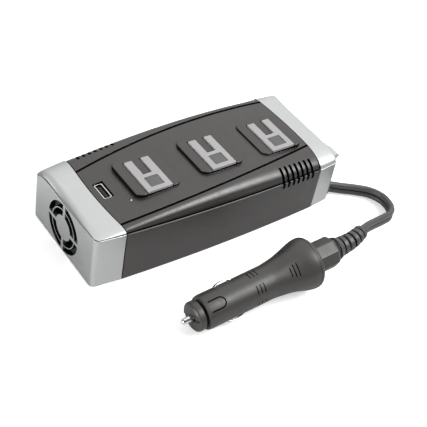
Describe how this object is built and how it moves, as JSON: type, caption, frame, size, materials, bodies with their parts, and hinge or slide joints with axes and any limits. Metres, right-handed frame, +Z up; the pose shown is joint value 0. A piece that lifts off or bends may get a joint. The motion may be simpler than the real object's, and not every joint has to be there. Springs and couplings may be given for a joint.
{
  "type": "power inverter",
  "caption": "Portable DC to AC power inverter: long case with silver end caps, outlets under sliding covers, USB port, fan and a flat lead ending in a 12 V vehicle plug.",
  "frame": {"origin": "on the underside of the case, midway between the two end cap seams and on its long middle line", "axes": "+X along the case from the fan end to the cord end, +Y from the side where the plug lies to the other side, +Z up"},
  "size_m": [0.2204, 0.1486, 0.0464],
  "materials": {
    "cap_silver": "satin silver paint on moulded ABS",
    "body_black": "satin, very fine spark-eroded grain",
    "cover_grey": "matt moulded",
    "socket_black": "matt moulded",
    "plug_black": "satin moulded",
    "cord_rubber": "smooth flexible PVC",
    "pale_plastic": "gloss moulded",
    "lamp_lens": "clear lens",
    "steel": "plated",
    "chrome": "nickel plated, polished",
    "brass": "bare",
    "aluminium": "extruded, bare",
    "board_green": "solder mask",
    "ferrite": "dark matt",
    "copper": "enamelled wire",
    "component_dark": "printed sleeve or epoxy, no lettering",
    "fuse_glass": "clear tube"
  },
  "bodies": {
    "case": {"bottom_tub": "body_black", "top_cover": "body_black", "fan_end_cap": "cap_silver", "cord_end_cap": "cap_silver", "case_screw_1": "steel", "case_screw_2": "steel", "case_screw_3": "steel", "case_screw_4": "steel", "fan_frame": "socket_black", "receptacle_1": "socket_black", "receptacle_2": "socket_black", "receptacle_3": "socket_black", "line_bus": "brass", "neutral_bus": "brass", "ground_bus": "brass", "usb_shell": "steel", "usb_tongue": "socket_black", "power_lamp": "lamp_lens", "circuit_board": "board_green", "heat_sink_1": "aluminium", "heat_sink_2": "aluminium", "transistor_1": "component_dark", "transistor_2": "component_dark", "transistor_3": "component_dark", "transistor_4": "component_dark", "transformer_core": "ferrite", "transformer_winding": "copper", "choke": "copper", "capacitor_1": "component_dark", "capacitor_2": "component_dark", "capacitor_3": "component_dark", "switch_bezel": "pale_plastic", "cord_grommet": "cord_rubber", "cord_lead": "cord_rubber", "plug_body": "plug_black", "plug_nose": "plug_black", "plug_spring": "steel", "plug_collar": "plug_black", "plug_boot": "cord_rubber"},
    "fan_rotor": {"fan_rotor": "socket_black"},
    "outlet_cover_1": {"outlet_cover_1": "cover_grey"},
    "outlet_cover_2": {"outlet_cover_2": "cover_grey"},
    "outlet_cover_3": {"outlet_cover_3": "cover_grey"},
    "switch_rocker": {"switch_rocker": "pale_plastic"},
    "plug_tip": {"plug_tip": "chrome", "plug_fuse": "fuse_glass"},
    "plug_contact_1": {"plug_contact_1": "chrome"},
    "plug_contact_2": {"plug_contact_2": "chrome"}
  },
  "joints": [
    {"name": "outlet_cover_1_slide", "type": "slide", "parent": "case", "child": "outlet_cover_1", "axis": [0, -1, 0], "range_m": [0, 0.0122]},
    {"name": "outlet_cover_2_slide", "type": "slide", "parent": "case", "child": "outlet_cover_2", "axis": [0, -1, 0], "range_m": [0, 0.0122]},
    {"name": "outlet_cover_3_slide", "type": "slide", "parent": "case", "child": "outlet_cover_3", "axis": [0, -1, 0], "range_m": [0, 0.0122]},
    {"name": "fan_spin", "type": "hinge", "parent": "case", "child": "fan_rotor", "pos_m": [-0.0874, 0, 0.0186], "axis": [1, 0, 0], "continuous": true},
    {"name": "power_switch_tip", "type": "hinge", "parent": "case", "child": "switch_rocker", "pos_m": [0.0946, -0.024, 0.0247], "axis": [0, 1, 0], "range_deg": [-20, 0]},
    {"name": "plug_tip_press", "type": "slide", "parent": "case", "child": "plug_tip", "axis": [0.9969, 0, 0.0789], "range_m": [0, 0.004], "stiffness_N_per_m": 600},
    {"name": "plug_contact_1_press", "type": "slide", "parent": "case", "child": "plug_contact_1", "axis": [0.0497, -0.7771, -0.6274], "range_m": [0, 0.0016], "stiffness_N_per_m": 1500},
    {"name": "plug_contact_2_press", "type": "slide", "parent": "case", "child": "plug_contact_2", "axis": [-0.0497, 0.7771, 0.6274], "range_m": [0, 0.0016], "stiffness_N_per_m": 1500}
  ]
}
